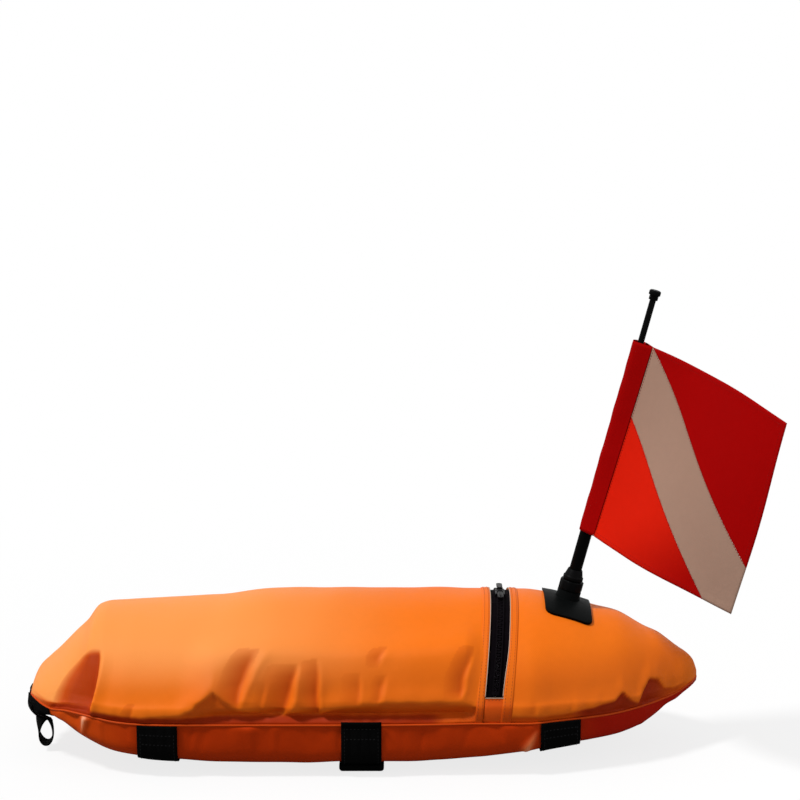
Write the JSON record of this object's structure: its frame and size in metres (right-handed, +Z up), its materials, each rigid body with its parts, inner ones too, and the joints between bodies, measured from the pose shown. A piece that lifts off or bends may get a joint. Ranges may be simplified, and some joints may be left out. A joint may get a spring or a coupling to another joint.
{
  "type": "dive flag float",
  "caption": "Inflatable orange dive float with a zipped cover over a bladder, a weighted keel pouch, a tow loop and a red and white flag on a telescoping pole.",
  "frame": {"origin": "centre of the flat foot under the keel pouch", "axes": "+X towards the bow, +Z up, the tow loop on the -Y side of the stern"},
  "size_m": [0.9448, 0.3521, 0.5914],
  "materials": {
    "deck_fabric": "coated, satin",
    "hull_fabric": "coated, satin",
    "webbing": "matte weave",
    "zip_tape": "matte weave",
    "moulded_plastic": "satin",
    "black_metal": "satin",
    "pole_plastic": "semi-gloss",
    "seal_rubber": "matte",
    "ballast": "matte",
    "bladder_film": "satin",
    "flag_sleeve_red": "matte cloth",
    "flag_red": "matte cloth",
    "flag_white": "matte cloth"
  },
  "bodies": {
    "float": {"ballast_pouch": "webbing", "ballast_weight": "ballast", "bladder": "bladder_film", "bladder_valve": "moulded_plastic", "deck_panel_aft": "deck_fabric", "deck_panel_fore": "deck_fabric", "flag_base": "pole_plastic", "hull_panel": "hull_fabric", "seam_bead": "hull_fabric", "socket_seal": "seal_rubber", "strap_aft": "webbing", "strap_fore": "webbing", "strap_mid": "webbing", "zip_end_stop_far": "moulded_plastic", "zip_end_stop_near": "moulded_plastic", "zip_end_tab_far": "deck_fabric", "zip_end_tab_near": "deck_fabric", "zip_facing_aft": "deck_fabric", "zip_facing_fore": "deck_fabric", "zip_tape_aft": "zip_tape", "zip_tape_fore": "zip_tape", "zip_teeth_aft": "moulded_plastic", "zip_teeth_fore": "moulded_plastic"},
    "lock_ring": {"lock_ring": "moulded_plastic"},
    "pole": {"pole_tube": "pole_plastic", "pole_foot_plug": "seal_rubber", "pole_collar": "moulded_plastic", "pole_bushing": "moulded_plastic"},
    "rod": {"pole_rod": "pole_plastic", "rod_foot": "moulded_plastic", "pole_cap": "moulded_plastic"},
    "flag": {"flag_sleeve": "flag_sleeve_red", "flag_panel_hoist": "flag_red", "flag_stripe": "flag_white", "flag_panel_fly": "flag_red"},
    "slider_near": {"zip_slider_near": "black_metal"},
    "slider_far": {"zip_slider_far": "black_metal"},
    "pull_near": {"zip_pull_near": "black_metal"},
    "pull_far": {"zip_pull_far": "black_metal"},
    "tow_loop": {"tow_loop": "webbing"},
    "valve_cap": {"valve_cap": "moulded_plastic"}
  },
  "joints": [
    {"name": "lock_ring_turn", "type": "hinge", "parent": "float", "child": "lock_ring", "pos_m": [0.262, 0, 0.18842], "axis": [0.2554, 0, 0.9668], "range_deg": [0, 120]},
    {"name": "pole_lift", "type": "slide", "parent": "float", "child": "pole", "axis": [0.2554, 0, 0.9668], "range_m": [0, 0.035]},
    {"name": "rod_extend", "type": "slide", "parent": "pole", "child": "rod", "axis": [0.2554, 0, 0.9668], "range_m": [-0.06, 0.15]},
    {"name": "flag_swing", "type": "hinge", "parent": "pole", "child": "flag", "pos_m": [0.262, 0, 0.18842], "axis": [0.2554, 0, 0.9668], "continuous": true},
    {"name": "zip_slider_near_travel", "type": "hinge", "parent": "float", "child": "slider_near", "pos_m": [0.16051, 0, 0.0495], "axis": [0.9945, 0, -0.1045], "range_deg": [0, 60]},
    {"name": "zip_slider_far_travel", "type": "hinge", "parent": "float", "child": "slider_far", "pos_m": [0.16051, 0, 0.0495], "axis": [0.9945, 0, -0.1045], "range_deg": [-60, 0]},
    {"name": "zip_pull_near_lift", "type": "hinge", "parent": "slider_near", "child": "pull_near", "pos_m": [0.17603, -0.00668, 0.20118], "axis": [0.9995, -0.0032, -0.0311], "range_deg": [-95, 0]},
    {"name": "zip_pull_far_lift", "type": "hinge", "parent": "slider_far", "child": "pull_far", "pos_m": [0.17603, 0.00668, 0.20118], "axis": [0.9995, 0.0032, -0.0311], "range_deg": [0, 95]},
    {"name": "tow_loop_swing", "type": "hinge", "parent": "float", "child": "tow_loop", "pos_m": [-0.42655, -0.03818, 0.067], "axis": [-0.2176, 0.976, 0], "range_deg": [0, 85]},
    {"name": "valve_cap_turn", "type": "hinge", "parent": "float", "child": "valve_cap", "pos_m": [0.17602, 0, 0.17562], "axis": [0, 0, 1], "range_deg": [0, 90]}
  ]
}
